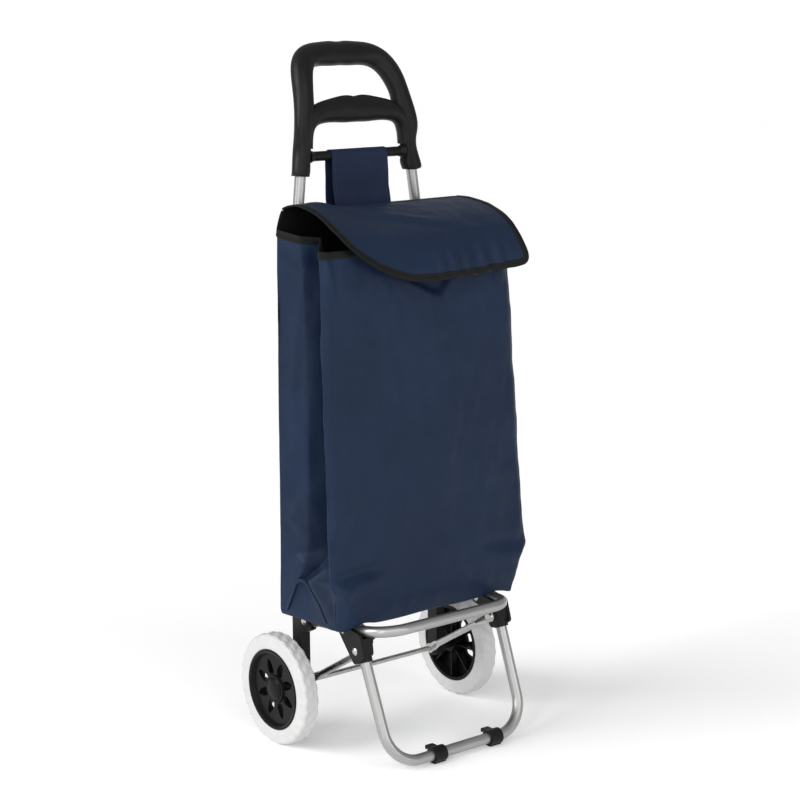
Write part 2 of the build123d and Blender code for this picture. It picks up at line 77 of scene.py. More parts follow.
WHEEL_X = 169.0                        # middle of the tyre


def world(p):
    """Points in the row frame, in metres, from points in the drawing's millimetres."""
    return np.asarray(p, float) * MM + (0.0, AXLE_Y, 0.0)


# ---------------------------------------------------------------- node materials
class Nodes:
    """A material's node tree, with short calls to add nodes and join them."""

    def __init__(self, name, **fixed):
        self.mat = bpy.data.materials.new(name)
        self.mat.use_nodes = True
        self.tree = self.mat.node_tree
        self.bsdf = self.tree.nodes["Principled BSDF"]
        for key, value in fixed.items():
            self.bsdf.inputs[key.replace("_", " ")].default_value = value

    def add(self, kind, inputs=None, **settings):
        """New node with these settings, and with these values on its input sockets."""
        node = self.tree.nodes.new(kind)
        for key, value in settings.items():
            setattr(node, key, value)
        for key, value in (inputs or {}).items():
            node.inputs[key].default_value = value
        return node

    def join(self, a, out, b, into):
        self.tree.links.new(a.outputs[out], b.inputs[into])

    def texture(self, kind, coords, inputs, **settings):
        """Texture node laid out on a TexCoord socket, "Object" (metres) or "UV" (millimetres)."""
        tex = self.add(kind, inputs, **settings)
        self.join(self.add("ShaderNodeTexCoord"), coords, tex, "Vector")
        return tex

    def noise(self, coords, scale, detail=4.0, rough=0.55, distort=0.0):
        return self.texture("ShaderNodeTexNoise", coords, {
            "Scale": scale, "Detail": detail, "Roughness": rough, "Distortion": distort})

    def cells(self, scale):
        """Small cells: the grain of moulded plastic, or the pits of foam."""
        return self.texture("ShaderNodeTexVoronoi", "Object", {"Scale": scale}, feature="F1")

    def ramp(self, source, out, stops):
        """Colour ramp between two stops, each a position and a colour or a grey level."""
        ramp = self.add("ShaderNodeValToRGB")
        for item, (at, colour) in zip(ramp.color_ramp.elements, stops):
            item.position = at
            item.color = (*colour, 1.0) if hasattr(colour, "__len__") else (colour,) * 3 + (1.0,)
        self.join(source, out, ramp, "Fac")
        return ramp

    def bump(self, source, out, strength, distance, after=None):
        bump = self.add("ShaderNodeBump", {"Strength": strength, "Distance": distance})
        self.join(source, out, bump, "Height")
        if after is not None:
            self.join(after, "Normal", bump, "Normal")
        return bump

    def done(self, colour=None, rough=None, normal=None):
        """The material, with these nodes joined to its shader."""
        if colour is not None:
            self.join(colour, "Color", self.bsdf, "Base Color")
        if rough is not None:
            self.join(rough, "Color", self.bsdf, "Roughness")
        if normal is not None:
            self.join(normal, "Normal", self.bsdf, "Normal")
        return self.mat


def shade(colour, k):
    """The colour made k times as bright."""
    return tuple(c * k for c in colour)


WAVES_PER_UNIT = 0.314                 # a wave texture's Scale times the spacing of its bands


def woven(name, colour, pitch=0.55, rough=(0.40, 0.50), sheen=0.012, relief=0.00012):
    """Plain-woven cloth with a thin coating. Its UVs are millimetres on the flat cloth."""
    n = Nodes(name, Sheen_Weight=sheen, Sheen_Roughness=0.45, Specular_IOR_Level=0.14)
    weave = n.add("ShaderNodeMath", operation="MULTIPLY")
    for k, direction in enumerate("XY"):
        threads = n.texture("ShaderNodeTexWave", "UV", {
            "Scale": WAVES_PER_UNIT / pitch, "Distortion": 0.6, "Detail": 1.0},
            wave_type="BANDS", bands_direction=direction)
        n.join(threads, "Fac", weave, k)
    blotch = n.noise("Object", 9.0, 5.0, 0.6)
    slub = n.noise("UV", 0.35, 3.0, 0.7)
    tone = n.ramp(blotch, "Fac", [(0.30, shade(colour, 0.86)), (0.72, shade(colour, 1.14))])
    thread = n.ramp(weave, "Value", [(0.0, 0.86), (1.0, 1.10)])
    mix = n.add("ShaderNodeMix", {"Factor": 1.0}, data_type="RGBA", blend_type="MULTIPLY")
    n.join(tone, "Color", mix, "A")
    n.join(thread, "Color", mix, "B")
    n.join(mix, "Result", n.bsdf, "Base Color")
    gloss = n.ramp(slub, "Fac", [(0.35, rough[0]), (0.70, rough[1])])
    fine = n.bump(weave, "Value", 0.35, relief)
    soft = n.bump(blotch, "Fac", 0.25, 0.0012, fine)
    return n.done(rough=gloss, normal=soft)


def moulded(name, colour, rough=(0.34, 0.46), grain=2600.0, depth=0.00006, spec=0.5):
    """Injection-moulded plastic: fine grain, faint flow marks and scuffed patches."""
    n = Nodes(name, Specular_IOR_Level=spec)
    flow = n.noise("Object", 26.0, 6.0, 0.65, 0.4)
    scuff = n.noise("Object", 140.0, 3.0, 0.7)
    tone = n.ramp(flow, "Fac", [(0.30, shade(colour, 0.85)), (0.75, shade(colour, 1.25))])
    gloss = n.ramp(scuff, "Fac", [(0.38, rough[0]), (0.70, rough[1])])
    fine = n.bump(n.cells(grain), "Distance", 0.30, depth)
    return n.done(tone, gloss, n.bump(flow, "Fac", 0.12, 0.0006, fine))


def lacquered(name, colour, rough=(0.33, 0.39), metallic=0.92):
    """Silver lacquer on steel tube: satin and slightly cloudy, with broad dull patches."""
    n = Nodes(name, Metallic=metallic, Coat_Weight=0.20, Coat_Roughness=0.22)
    cloud = n.noise("Object", 14.0, 2.0, 0.5)
    scuff = n.noise("Object", 30.0, 2.0, 0.5)
    tone = n.ramp(cloud, "Fac", [(0.28, shade(colour, 0.93)), (0.75, shade(colour, 1.06))])
    gloss = n.ramp(scuff, "Fac", [(0.35, rough[0]), (0.70, rough[1])])
    return n.done(tone, gloss)


def plated(name, colour, rough=(0.24, 0.34)):
    """Zinc plating: slightly cloudy, a little dull in patches."""
    n = Nodes(name, Metallic=1.0)
    cloud = n.noise("Object", 60.0, 2.0, 0.5)
    tone = n.ramp(cloud, "Fac", [(0.30, shade(colour, 0.88)), (0.70, shade(colour, 1.06))])
    gloss = n.ramp(cloud, "Fac", [(0.30, rough[0]), (0.75, rough[1])])
    return n.done(tone, gloss)


def foamed(name, colour):
    """White closed-cell foam: matt skin with tiny pits and faint grey soiling."""
    n = Nodes(name, Specular_IOR_Level=0.30)
    soil = n.noise("Object", 34.0, 7.0, 0.65)
    tone = n.ramp(soil, "Fac", [(0.30, shade(colour, 0.93)), (0.60, colour)])
    gloss = n.ramp(soil, "Fac", [(0.30, 0.50), (0.70, 0.64)])
    fine = n.bump(n.cells(900.0), "Distance", 0.35, 0.00012)
    return n.done(tone, gloss, n.bump(soil, "Fac", 0.10, 0.0008, fine))


NAVY = (0.0078, 0.0185, 0.0460)
cloth = woven("bag_cloth_woven", NAVY)
strap_cloth = woven("strap_cloth_woven", (0.0120, 0.0200, 0.0500), rough=(0.58, 0.68))
coating = woven("black_coating", (0.0055, 0.0055, 0.0062), rough=(0.42, 0.52))
tape = woven("edge_tape", (0.0050, 0.0056, 0.0058), pitch=0.9, rough=(0.50, 0.60), relief=0.0002)
thread_dark = moulded("thread_black", (0.010, 0.010, 0.011), rough=(0.55, 0.65), grain=5000.0)
thread_navy = moulded("thread_navy", (0.020, 0.032, 0.080), rough=(0.55, 0.65), grain=5000.0)
black_plastic = moulded("black_moulding", (0.0076, 0.0076, 0.0078), rough=(0.34, 0.44),
                        spec=0.15)
hub_plastic = moulded("hub_moulding", (0.0058, 0.0058, 0.0060), rough=(0.28, 0.38), grain=3400.0,
                      depth=0.00003, spec=0.10)
tube_metal = lacquered("silver_lacquer", (0.38, 0.38, 0.375))
zinc = plated("zinc_plating", (0.50, 0.50, 0.49))
foam = foamed("white_foam", (0.54, 0.54, 0.537))

LOOKS = {"frame_tube": tube_metal, "zinc_steel": zinc, "black_plastic": black_plastic,
         "hub_plastic": hub_plastic, "foam_tyre": foam, "bag_cloth": cloth,
         "strap_cloth": strap_cloth, "binding_tape": tape}
SLOTS = {s["node"]: s["material_slot"] for s in frame["record"]["subparts"]}
for node, obj in frame["nodes"].items():
    obj.data.materials.clear()
    obj.data.materials.append(LOOKS[SLOTS[node]])


# ---------------------------------------------------------------- mesh helpers
def smooth_step(x):
    """Smooth rise from 0 at x = 0 to 1 at x = 1."""
    x = np.clip(x, 0.0, 1.0)
    return x * x * (3.0 - 2.0 * x)


def lump(d, width):
    """A soft bump of height 1 around d = 0."""
    return np.exp(-((np.asarray(d) / width) ** 2))


def fractal(points, scale, seed, octaves=3):
    """Smooth noise, about -1 to 1, at each point (mm)."""
    shift = Vector((seed * 7.3, seed * -3.1, seed * 5.7))
    flat = np.asarray(points).reshape(-1, 3)
    out = [noise.fractal(Vector(p) / scale + shift, 0.9, 2.1, octaves) for p in flat]
    return np.array(out).reshape(np.asarray(points).shape[:-1])


def make_object(name, verts, faces, uvs=None, mats=()):
    """Smooth-shaded mesh object; verts are in drawing millimetres, uvs in millimetres of cloth."""
    mesh = bpy.data.meshes.new(name)
    mesh.from_pydata([tuple(v) for v in world(verts).reshape(-1, 3)], [], faces)
    if uvs is not None:
        layer = mesh.uv_layers.new(name="flat_mm")
        index = np.zeros(len(mesh.loops), int)
        mesh.loops.foreach_get("vertex_index", index)
        layer.data.foreach_set("uv", np.asarray(uvs, float).reshape(-1, 2)[index].ravel())
    for m in mats:
        mesh.materials.append(m)
    mesh.polygons.foreach_set("use_smooth", [True] * len(mesh.polygons))
    mesh.update()
    obj = bpy.data.objects.new(name, mesh)
    bpy.context.collection.objects.link(obj)
    return obj


def grid_faces(rows, cols, close_rows=False, close_cols=False, start=0, flip=False):
    """Quads between the points of a grid, which may close on itself either way."""
    faces = []
    for r in range(rows if close_rows else rows - 1):
        for c in range(cols if close_cols else cols - 1):
            r2, c2 = (r + 1) % rows, (c + 1) % cols
            faces.append((start + r * cols + c, start + r * cols + c2,
                          start + r2 * cols + c2, start + r2 * cols + c))
    return [f[::-1] for f in faces] if flip else faces


def modifier(obj, kind, **values):
    m = obj.modifiers.new(kind.lower(), kind)
    for key, value in values.items():
        setattr(m, key, value)


def subdivided(obj):
    modifier(obj, "SUBSURF", levels=1, render_levels=1)


def rides(obj, body, slot, *nodes):
    """The piece moves with the body and stands for these CAD nodes, which it hides; slot is not
    used.
    """
    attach(obj, body)
    if nodes:
        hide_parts(*nodes)
    return obj


def path_lengths(points):
    """Distance along a line of points, at each of them."""
    steps = np.linalg.norm(np.diff(points, axis=0), axis=1)
    return np.concatenate([[0.0], np.cumsum(steps)])


def resample(points, step):
    """The same line with points an even step apart."""
    points = np.asarray(points, float)
    s = path_lengths(points)
    count = max(2, int(round(s[-1] / step)) + 1)
    at = np.linspace(0.0, s[-1], count)
    return np.stack([np.interp(at, s, points[:, k]) for k in range(points.shape[1])], 1)


def smooth_line(points, rounds):
    """The same line with its corners rounded and its ends in place."""
    p = np.array(points, float)
    for _ in range(rounds):
        p[1:-1] = 0.5 * p[1:-1] + 0.25 * (p[:-2] + p[2:])
    return p


def unit(v):
    """The vectors scaled to length 1."""
    n = np.linalg.norm(v, axis=-1, keepdims=True)
    return v / np.maximum(n, 1e-9)


# ---------------------------------------------------------------- bag: the sewn shell
BACK_Y = -12.0                         # plane of the back wall
HEM_BACK_Z, HEM_FRONT_Z = 751.0, 728.0    # edge of the mouth, at the back and at the front
MOUTH_Z, MOUTH_DEPTH = 740.0, 101.0    # its middle height, and its size from back to front
RISER_Z = 777.0                        # top of the raised back wall, where the flap is sewn on
BOARD_Z = 205.0                        # underside of the base board
# Right half of the plan at rising heights, as points from the back corner to the front: the mouth
# of the side's pleat, its deep end (two points), a point on its front flank, the front fold, and
# where the front wall starts. Below z = 268 the pleat opens into the triangle of a folded box
# bottom, and the front fold splits in two.
PLAN = np.array([
    # z     back x | mouth         | deep end                   | flank         | fold
    #       | front wall
    (192.0, 168.0, 168.0, -18.0, 164.0, -72.0, 163.0, -124.0, 162.5, -128.0, 161.0, -132.0,
     156.0, -140.0),
    (204.0, 173.0, 171.0, -22.0, 163.5, -70.0, 164.5, -118.0, 161.0, -125.0, 163.5, -132.0,
     154.5, -142.0),
    (230.0, 173.5, 170.5, -35.0, 159.5, -62.0, 164.5, -93.0, 150.0, -112.0, 164.0, -134.5,
     150.0, -147.5),
    (255.0, 173.0, 168.0, -47.0, 158.0, -53.0, 163.0, -62.0, 140.0, -98.0, 174.5, -139.0,
     160.0, -149.0),
    (268.0, 172.5, 163.0, -53.0, 146.0, -62.0, 148.0, -76.0, 142.0, -96.0, 181.5, -142.5,
     171.5, -147.0),
    (290.0, 172.0, 157.0, -58.0, 130.0, -76.0, 133.0, -83.0, 150.0, -103.0, 180.0, -141.5,
     170.5, -146.5),
    (320.0, 171.5, 156.0, -59.0, 124.0, -77.0, 127.0, -83.0, 151.0, -107.0, 180.0, -138.5,
     170.5, -143.5),
    (520.0, 170.5, 153.0, -58.0, 119.0, -74.0, 122.0, -79.0, 146.0, -99.0, 175.5, -124.5,
     166.0, -129.5),
    (700.0, 169.0, 152.0, -50.0, 121.0, -64.0, 124.0, -68.0, 144.0, -86.0, 169.5, -112.5,
     159.5, -117.5),
    (751.0, 167.5, 152.0, -45.0, 128.0, -57.0, 131.0, -61.0, 146.0, -82.0, 168.0, -109.0,
     158.0, -114.0),
])
SEGMENTS = (14, 9, 4, 8, 10, 7)        # columns along each stretch of one side
FRONT_COLUMNS, BACK_COLUMNS = 84, 56
ROWS = 112
SIDE_CROWD, BACK_CROWD = 0.55, 0.85    # how closely the columns stand near the folds


def plan_at(z):
    """Corner points of the right half of the plan at height z, from the back to the front."""
    v = [np.interp(z, PLAN[:, 0], PLAN[:, k]) for k in range(1, PLAN.shape[1])]
    return np.array([(v[0], BACK_Y)] + [(v[k], v[k + 1]) for k in range(1, len(v), 2)])


def shares(count, crowd):
    """count shares from 0 up to 1, closer together near both ends the larger crowd is."""
    t = np.arange(count) / count
    return t - crowd * np.sin(2 * math.pi * t) / (2 * math.pi)


def ring_at(z):
    """Closed plan line at height z: right side, front from right to left, left side, back."""
    half = plan_at(z)
    mirror = np.array((-1.0, 1.0))
    right = np.vstack([a + (b - a) * shares(count, SIDE_CROWD)[:, None]
                       for a, b, count in zip(half[:-1], half[1:], SEGMENTS)])
    across = half[-1] * mirror - half[-1]
    front = half[-1] + across * shares(FRONT_COLUMNS, 0.0)[:, None]
    left = np.vstack([half[-1:], right[::-1]])[:len(right)] * mirror
    behind = half[0] - half[0] * mirror
    back = half[0] * mirror + behind * shares(BACK_COLUMNS, BACK_CROWD)[:, None]
    return np.vstack([right, front, left, back])


SIDE = sum(SEGMENTS)
LEFT_START = SIDE + FRONT_COLUMNS
COLUMNS = 2 * SIDE + FRONT_COLUMNS + BACK_COLUMNS
FRONT = slice(SIDE, LEFT_START + 1)
BACK = slice(LEFT_START + SIDE, COLUMNS)


def wall_weights():
    """How far each column belongs to the front, left, right and back walls, from 0 to 1."""
    front, left, right, back = np.zeros((4, COLUMNS))
    front[FRONT] = 1.0
    for k in range(1, SEGMENTS[-1] + 1):
        front[SIDE - k] = front[LEFT_START + k] = 1.0 - k / SEGMENTS[-1]
    right[:SIDE] = 1.0 - front[:SIDE]
    left[LEFT_START:LEFT_START + SIDE] = 1.0 - front[LEFT_START:LEFT_START + SIDE]
    back[BACK] = 1.0
    return front, left, right, back


def corner_lift(x):
    """How far the raised back wall and the flap sewn to it stand up near their left corner."""
    return 3.5 * lump(x + 138.0, 28.0)


def top_edge():
    """Height of the bag's top edge at each column, and how far the back wall is raised there."""
    ring = ring_at(MOUTH_Z)
    slope = (HEM_BACK_Z - HEM_FRONT_Z) / MOUTH_DEPTH
    z = HEM_BACK_Z + (ring[:, 1] - BACK_Y) * slope
    on_back = np.zeros(COLUMNS)
    on_back[BACK] = 1.0
    rise = smooth_step((167.0 - np.abs(ring[:, 0])) / 5.0) * on_back
    return z + rise * (RISER_Z - HEM_BACK_Z + corner_lift(ring[:, 0])), rise


def bottom_edge():
    """Height of the bottom edge: it lies on the shelf tubes and sags between and beside them."""
    ring = ring_at(200.0)
    x, y = np.abs(ring[:, 0]), ring[:, 1]
    z = 200.5 - 4.0 * smooth_step((x - 136.0) / 20.0)     # lower outside the tubes
    z -= 1.5 * lump(x - 62.0, 40.0)                       # and between them
    z += 4.5 * lump(x - 123.0, 15.0)                      # over a tube
    z += 6.0 * smooth_step((y + 30.0) / 18.0) * smooth_step((145.0 - x) / 20.0)
    return z


def bag_points():
    """Rows of points from the bottom edge to the top edge, in mm, shape (ROWS, COLUMNS, 3)."""
    low, (high, rise) = bottom_edge(), top_edge()
    share = np.linspace(0.0, 1.0, ROWS)
    heights = low[None, :] + (high - low)[None, :] * share[:, None]
    table_z = np.linspace(185.0, 790.0, 243)    # every 2.5 mm, past both edges
    table = np.array([ring_at(z) for z in table_z])
    pts = np.zeros((ROWS, COLUMNS, 3))
    for c in range(COLUMNS):
        for k in (0, 1):
            pts[:, c, k] = np.interp(heights[:, c], table_z, table[:, c, k])
    pts[..., 2] = heights
    # the raised back wall draws in towards its top corners
    above = np.clip((heights - HEM_BACK_Z) / (RISER_Z - HEM_BACK_Z), 0.0, 1.0) * rise[None, :]
    pts[..., 0] *= 1.0 - 0.022 * above
    # the right front fold is drawn in less than the left one
    fold = smooth_step((-112.0 - pts[..., 1]) / 18.0) * smooth_step((pts[..., 0] - 125.0) / 25.0)
    pts[..., 0] += fold * (8.0 * lump(heights - 232.0, 22.0) + 3.0 * lump(heights - 268.0, 18.0))
    return pts


def wall_normals(pts):
    """Outward normals of the grid of rows that close on themselves."""
    across = np.roll(pts, -1, 1) - np.roll(pts, 1, 1)
    up = np.gradient(pts, axis=0)
    return unit(np.cross(up, across))


# Folds of the front wall that run in from the kink of its corner: how far the cloth stands out,
# the fold's height at the corner, its slope and its width.
CORNER_FOLDS = [(-5.5, 279.0, 0.07, 8.0), (7.5, 256.0, 0.16, 11.0), (-2.4, 318.0, 0.75, 15.0),
                (2.0, 345.0, 0.90, 13.0)]
# Short gathers under the hem's front corner: how far they stand out, how far from the middle they
# are at z = 700, their slope, their width, and the height and reach of their strongest place.
HEM_GATHERS = [(2.4, 156.0, 0.16, 5.0, 690.0, 32.0), (-2.4, 145.0, 0.10, 6.0, 694.0, 26.0)]
# Slanting folds of a side wall: how far they stand out, their height where y is as given, their
# slope and their width, and the y and reach of their strongest place.
SIDE_FOLDS = [
    (5.0, 281.0, -62.0, 0.35, 8.0, -52.0, 26.0),     # bunching where the pleat opens
    (-4.5, 298.0, -70.0, -0.25, 9.0, -52.0, 30.0),
    (3.6, 328.0, -50.0, 0.9, 13.0, -42.0, 24.0),
    (-2.6, 395.0, -50.0, -0.5, 22.0, -44.0, 20.0),
    (-3.6, 698.0, -40.0, 0.8, 11.0, -38.0, 18.0),    # below the hem
    (3.2, 716.0, -40.0, 0.8, 8.0, -38.0, 18.0),
]


def front_relief(x, z, front):
    """Slight belly of the front wall, soft vertical waves, and the dent below the flap."""
    u = np.clip(np.abs(x) / 172.0, 0.0, 1.0)
    t = 8.0 * (1 - u ** 2) * np.sin(np.pi * np.clip((z - 200.0) / 530.0, 0, 1)) ** 1.2
    t -= 3.2 * lump(x + 62.0 + (z - 560.0) * 0.16, 34.0) * lump(z - 560.0, 130.0)
    t += 2.2 * lump(x - 20.0 + (z - 520.0) * 0.10, 30.0) * lump(z - 540.0, 150.0)
    rise = np.clip((z - 652.0) / 26.0, 0.0, 2.0)
    dent = smooth_step((9.0 + 32.0 * rise - np.abs(x - 36.0 + 15.0 * rise)) / 14.0)
    t -= 8.0 * dent * smooth_step((z - 650.0) / 14.0)
    for side, much in ((-1.0, 1.0), (1.0, 0.45)):
        along = side * x
        near = smooth_step((along - 72.0) / 45.0) * much
        for out, height, slope, width in CORNER_FOLDS:
            t += near * out * lump(z - height + slope * (along - 170.0), width)
        for out, middle, slope, width, height, reach in HEM_GATHERS:
            t += out * lump(along - middle + slope * (700.0 - z), width) * lump(z - height, reach)
    return t * front


def side_relief(y, z, wall):
    """Bunching where the pleat opens into the triangle, and slanting folds below the hem."""
    t = 2.6 * lump(y + 35.0 + 0.05 * (z - 500.0), 9.0) * lump(z - 560.0, 120.0)
    for out, height, y_there, slope, width, y_most, reach in SIDE_FOLDS:
        t += out * lump(z - height - slope * (y - y_there), width) * lump(y - y_most, reach)
    return t * wall * smooth_step((BACK_Y - y) / 12.0)


def wrinkled(pts):
    """Sag, creases and dents of the cloth, as offsets square to the walls."""
    x, y, z = pts[..., 0], pts[..., 1], pts[..., 2]
    front, left, right, back = wall_weights()
    hold = smooth_step((z - 200.0) / 25.0) * smooth_step((745.0 - z) / 30.0)
    t = 3.2 * fractal(pts * (1.0, 1.0, 0.42), 70.0, 1.0) * hold
    t += 0.9 * fractal(pts * (1.0, 1.0, 0.7), 21.0, 2.0) * hold
    t += front_relief(x, z, front) + side_relief(y, z, left) + side_relief(y, z, right)
    t *= smooth_step((RISER_Z - 4.0 - z) / 30.0) * 0.999 + 0.001    # almost none at the flap's seam
    t *= 1.0 - 0.75 * back
    out = pts + wall_normals(pts) * t[..., None]
    # nothing behind the plane of the back wall, where the frame's tubes are
    out[..., 1] = np.minimum(out[..., 1], BACK_Y + 0.4)
    return out


def soften(pts, rounds):
    """Relax the grid slightly, which rounds the folded edges like thick cloth."""
    p = pts.copy()
    for _ in range(rounds):
        p = 0.6 * p + 0.2 * (np.roll(p, 1, 1) + np.roll(p, -1, 1))
    return p


bag = wrinkled(soften(bag_points(), 3))
WIDTH_ROW = 60                         # the weave is laid out along this row
around = np.vstack([bag[WIDTH_ROW], bag[WIDTH_ROW, :1]])
uv = np.stack(np.broadcast_arrays(path_lengths(around)[None, :-1], bag[..., 2]), -1)

# below, the walls turn inwards under the base board: each row's share of the bottom edge's reach
# and of its drop below the board, from the inside outwards
LIP = [(0.78, 0.0), (0.85, 0.0), (0.91, 0.12), (0.955, 0.45)]
LIP_CENTRE = np.array([0.0, -75.0])
lip_rows = [np.column_stack([LIP_CENTRE + (bag[0, :, :2] - LIP_CENTRE) * reach,
                             BOARD_Z - (BOARD_Z - bag[0, :, 2]) * drop]) for reach, drop in LIP]
shell_rows = np.concatenate([lip_rows, bag])
shell_uv = np.concatenate([[row[:, :2] for row in lip_rows], uv])
bag_body = make_object("bag_body", shell_rows,
                       grid_faces(len(shell_rows), COLUMNS, close_cols=True, flip=True), shell_uv,
                       (cloth, coating))
modifier(bag_body, "SOLIDIFY", thickness=0.6 * MM, offset=-1.0, material_offset=1,
         material_offset_rim=0)
subdivided(bag_body)
rides(bag_body, "frame", "bag_cloth", "bag_front_panel", "bag_side_left", "bag_side_right",
      "bag_back_panel")


def base_board():
    """Cloth-covered board that lies in the bottom, a little bowed between the shelf tubes."""
    half = plan_at(BOARD_Z)
    depth = np.linspace(BACK_Y - 3.0, half[-1, 1] + 3.0, 26)
    reach = np.interp(-depth, -half[:, 1], half[:, 0]) - 3.5
    share = np.linspace(-1.0, 1.0, 61)
    pts = np.zeros((len(depth), len(share), 3))
    pts[..., 0] = reach[:, None] * share[None, :]
    pts[..., 1] = depth[:, None]
    pts[..., 2] = BOARD_Z + 1.6 + 0.5 * fractal(pts * (1.0, 1.0, 0.0), 70.0, 31.0, 2)
    board = make_object("bag_base_board", pts, grid_faces(*pts.shape[:2], flip=True),
                        pts[..., :2], (coating, cloth))
    return board, pts


base, base_pts = base_board()
modifier(base, "SOLIDIFY", thickness=1.2 * MM, offset=1.0, material_offset=1,
         material_offset_rim=1)
rides(base, "frame", "bag_cloth", "bag_bottom")


# ---------------------------------------------------------------- edge tapes
def tape_strip(name, edge, inward, normal, width, thick, mat):
    """Tape folded over an edge: a flat closed tube around the edge line, rounded outside."""
    half = [(width, 0.45), (width * 0.97, 0.75), (width * 0.55, 1.0), (0.6, 1.0), (-0.7, 0.62)]
    profile = half + [(-0.95, 0.0)] + [(a, -b) for a, b in half[::-1]]
    around = len(profile)
    rows = np.array([[p + d * a + n * b * thick for a, b in profile]
                     for p, d, n in zip(edge, inward, normal)])
    uvs = [[(at, 2.0 * width * k / (around - 1)) for k in range(around)]
           for at in path_lengths(edge)]
    faces = grid_faces(len(rows), around, close_cols=True)
    last = (len(rows) - 1) * around
    faces += [tuple(range(around)), tuple(last + k for k in range(around))[::-1]]
    obj = make_object(name, rows, faces, uvs, (mat,))
    bm = bmesh.new()
    bm.from_mesh(obj.data)
    bmesh.ops.recalc_face_normals(bm, faces=bm.faces)
    bm.to_mesh(obj.data)
    bm.free()
    subdivided(obj)
    return obj


def stitches(name, line, normal, mat, lift, length=2.6, gap=1.5, width=0.5):
    """A row of thread stitches: short flattened six-sided grains along the line."""
    line = resample(np.concatenate([line, normal], 1), 0.5)
    points, normals = line[:, :3], unit(line[:, 3:])
    s = path_lengths(points)
    rings, around = ((0.0, 0.35), (0.22, 1.0), (0.78, 1.0), (1.0, 0.35)), 6
    verts, faces = [], []
    at = gap
    while at + length < s[-1] - gap:
        ends = [np.array([np.interp(q, s, points[:, k]) for k in range(3)])
                for q in (at, at + length)]
        up = np.array([np.interp(at + length / 2, s, normals[:, k]) for k in range(3)])
        side = unit(np.cross(unit(ends[1] - ends[0]), up))
        first, last = len(verts), len(verts) + (len(rings) - 1) * around
        for share, size in rings:
            c = ends[0] + (ends[1] - ends[0]) * share + up * (lift - 0.15 + 0.15 * size)
            for k in range(around):
                a = 2 * math.pi * k / around
                verts.append(c + (side * math.cos(a) * width / 2
                                  + up * math.sin(a) * width * 0.38) * size)
        faces += grid_faces(len(rings), around, close_cols=True, start=first)
        faces += [tuple(first + k for k in range(around))[::-1],
                  tuple(last + k for k in range(around))]
        at += length + gap
    return make_object(name, verts, faces, None, (mat,))


# hem of the bag, round the front and both sides and up the corners of the back wall, where it
# ends at the first column that is fully raised
CORNER = int(np.sum(top_edge()[1][BACK][:BACK_COLUMNS // 2] < 0.995)) + 1
order = np.arange(COLUMNS - CORNER, COLUMNS + LEFT_START + SIDE + CORNER + 1) % COLUMNS
hem_edge = smooth_line(bag[-1][order], 1)
hem_normal = unit(smooth_line(wall_normals(bag)[-3][order], 2))
hem_inward = np.cross(unit(np.gradient(hem_edge, axis=0)), hem_normal)
hem_inward *= np.sign((hem_inward * (bag[-4] - bag[-1])[order]).sum())
hem_inward = unit(smooth_line(hem_inward, 2))
hem = tape_strip("bag_hem_tape", hem_edge - hem_inward * 0.3, hem_inward, hem_normal,
                 width=10.0, thick=1.5, mat=tape)
rides(hem, "frame", "binding_tape", "bag_hem_binding")
hem_thread = stitches("bag_hem_stitching", hem_edge + hem_inward * 8.2, hem_normal, thread_dark,
                      lift=1.35)
rides(hem_thread, "frame", "binding_tape")


def fold_line(side):
    """The inverted V on a side wall where the pleat opens into the bottom's triangle."""
    creases = [SEGMENTS[0], sum(SEGMENTS[:3])]
    columns = [c if side > 0 else LEFT_START + SIDE - c for c in creases]
    rows = int(np.argmax(bag[:, columns[0], 2] > 256.0))
    up = bag[2:rows, columns[0]]
    down = bag[2:rows, columns[1]][::-1]
    apex = (up[-1] + down[0]) / 2 + (0.0, 0.0, 3.0)
    return smooth_line(resample(np.vstack([up, apex[None], down]), 2.0), 2)


welts = []
for name, side in (("left", -1.0), ("right", 1.0)):
    line = fold_line(side)
    out = np.tile((side, 0.0, 0.0), (len(line), 1))
    below_apex = line.mean(0) - (0.0, 0.0, 22.0)
    inward = unit((below_apex - line) * (0.0, 1.0, 1.0))
    line = line + out * 0.8
    welt = tape_strip(f"side_fold_welt_{name}", line, inward, out, width=4.6, thick=1.3, mat=cloth)
    welts.append(rides(welt, "frame", "bag_cloth"))
    thread = stitches(f"side_fold_stitching_{name}", line + inward * 3.3, out, thread_navy,
                      lift=1.3)
    welts.append(rides(thread, "frame", "bag_cloth"))


# ---------------------------------------------------------------- flap
# Left and right limits of the flap at distances s from its sewn rear edge, all in mm.
FLAP_LEFT = np.array([(0, -157), (8, -157.5), (18, -157), (35, -156), (60, -152), (87, -148),
                      (112, -142.5), (130, -135), (146, -124), (158, -110), (168, -92),
                      (176, -72), (182, -48), (186, -20)])
FLAP_RIGHT = np.array([(0, 166), (20, 171), (58, 174), (90, 174.5), (125, 175), (152, 177),
                       (166, 180), (174, 181.5), (180, 180), (184, 176), (186, 168)])
FLAP_LENGTH = 186.0
# drape of the flap from back to front as (y, z), at its left edge, its middle and its right edge
DRAPE_LEFT = [(-10, 777), (-24, 783.5), (-46, 786.5), (-70, 781), (-95, 769.5), (-118, 751),
              (-131, 733), (-139, 719), (-144, 705), (-147, 690), (-149, 672)]
DRAPE_MIDDLE = [(-10, 777), (-28, 776.5), (-50, 773), (-74, 767), (-97, 757.5), (-118, 743),
                (-132, 726), (-140, 710), (-145, 697), (-148, 683), (-150, 665)]
DRAPE_RIGHT = [(-8, 777.5), (-28, 776.5), (-50, 773.5), (-74, 768.5), (-99, 760), (-121, 746.5),
               (-136, 729), (-144, 713), (-147.5, 699), (-149, 685), (-150, 668)]
CURL_S = 150.0                         # from here on the front corners are rounded
FLAP_TOP_ROWS, FLAP_CURL_ROWS, FLAP_COLS = 50, 26, 120


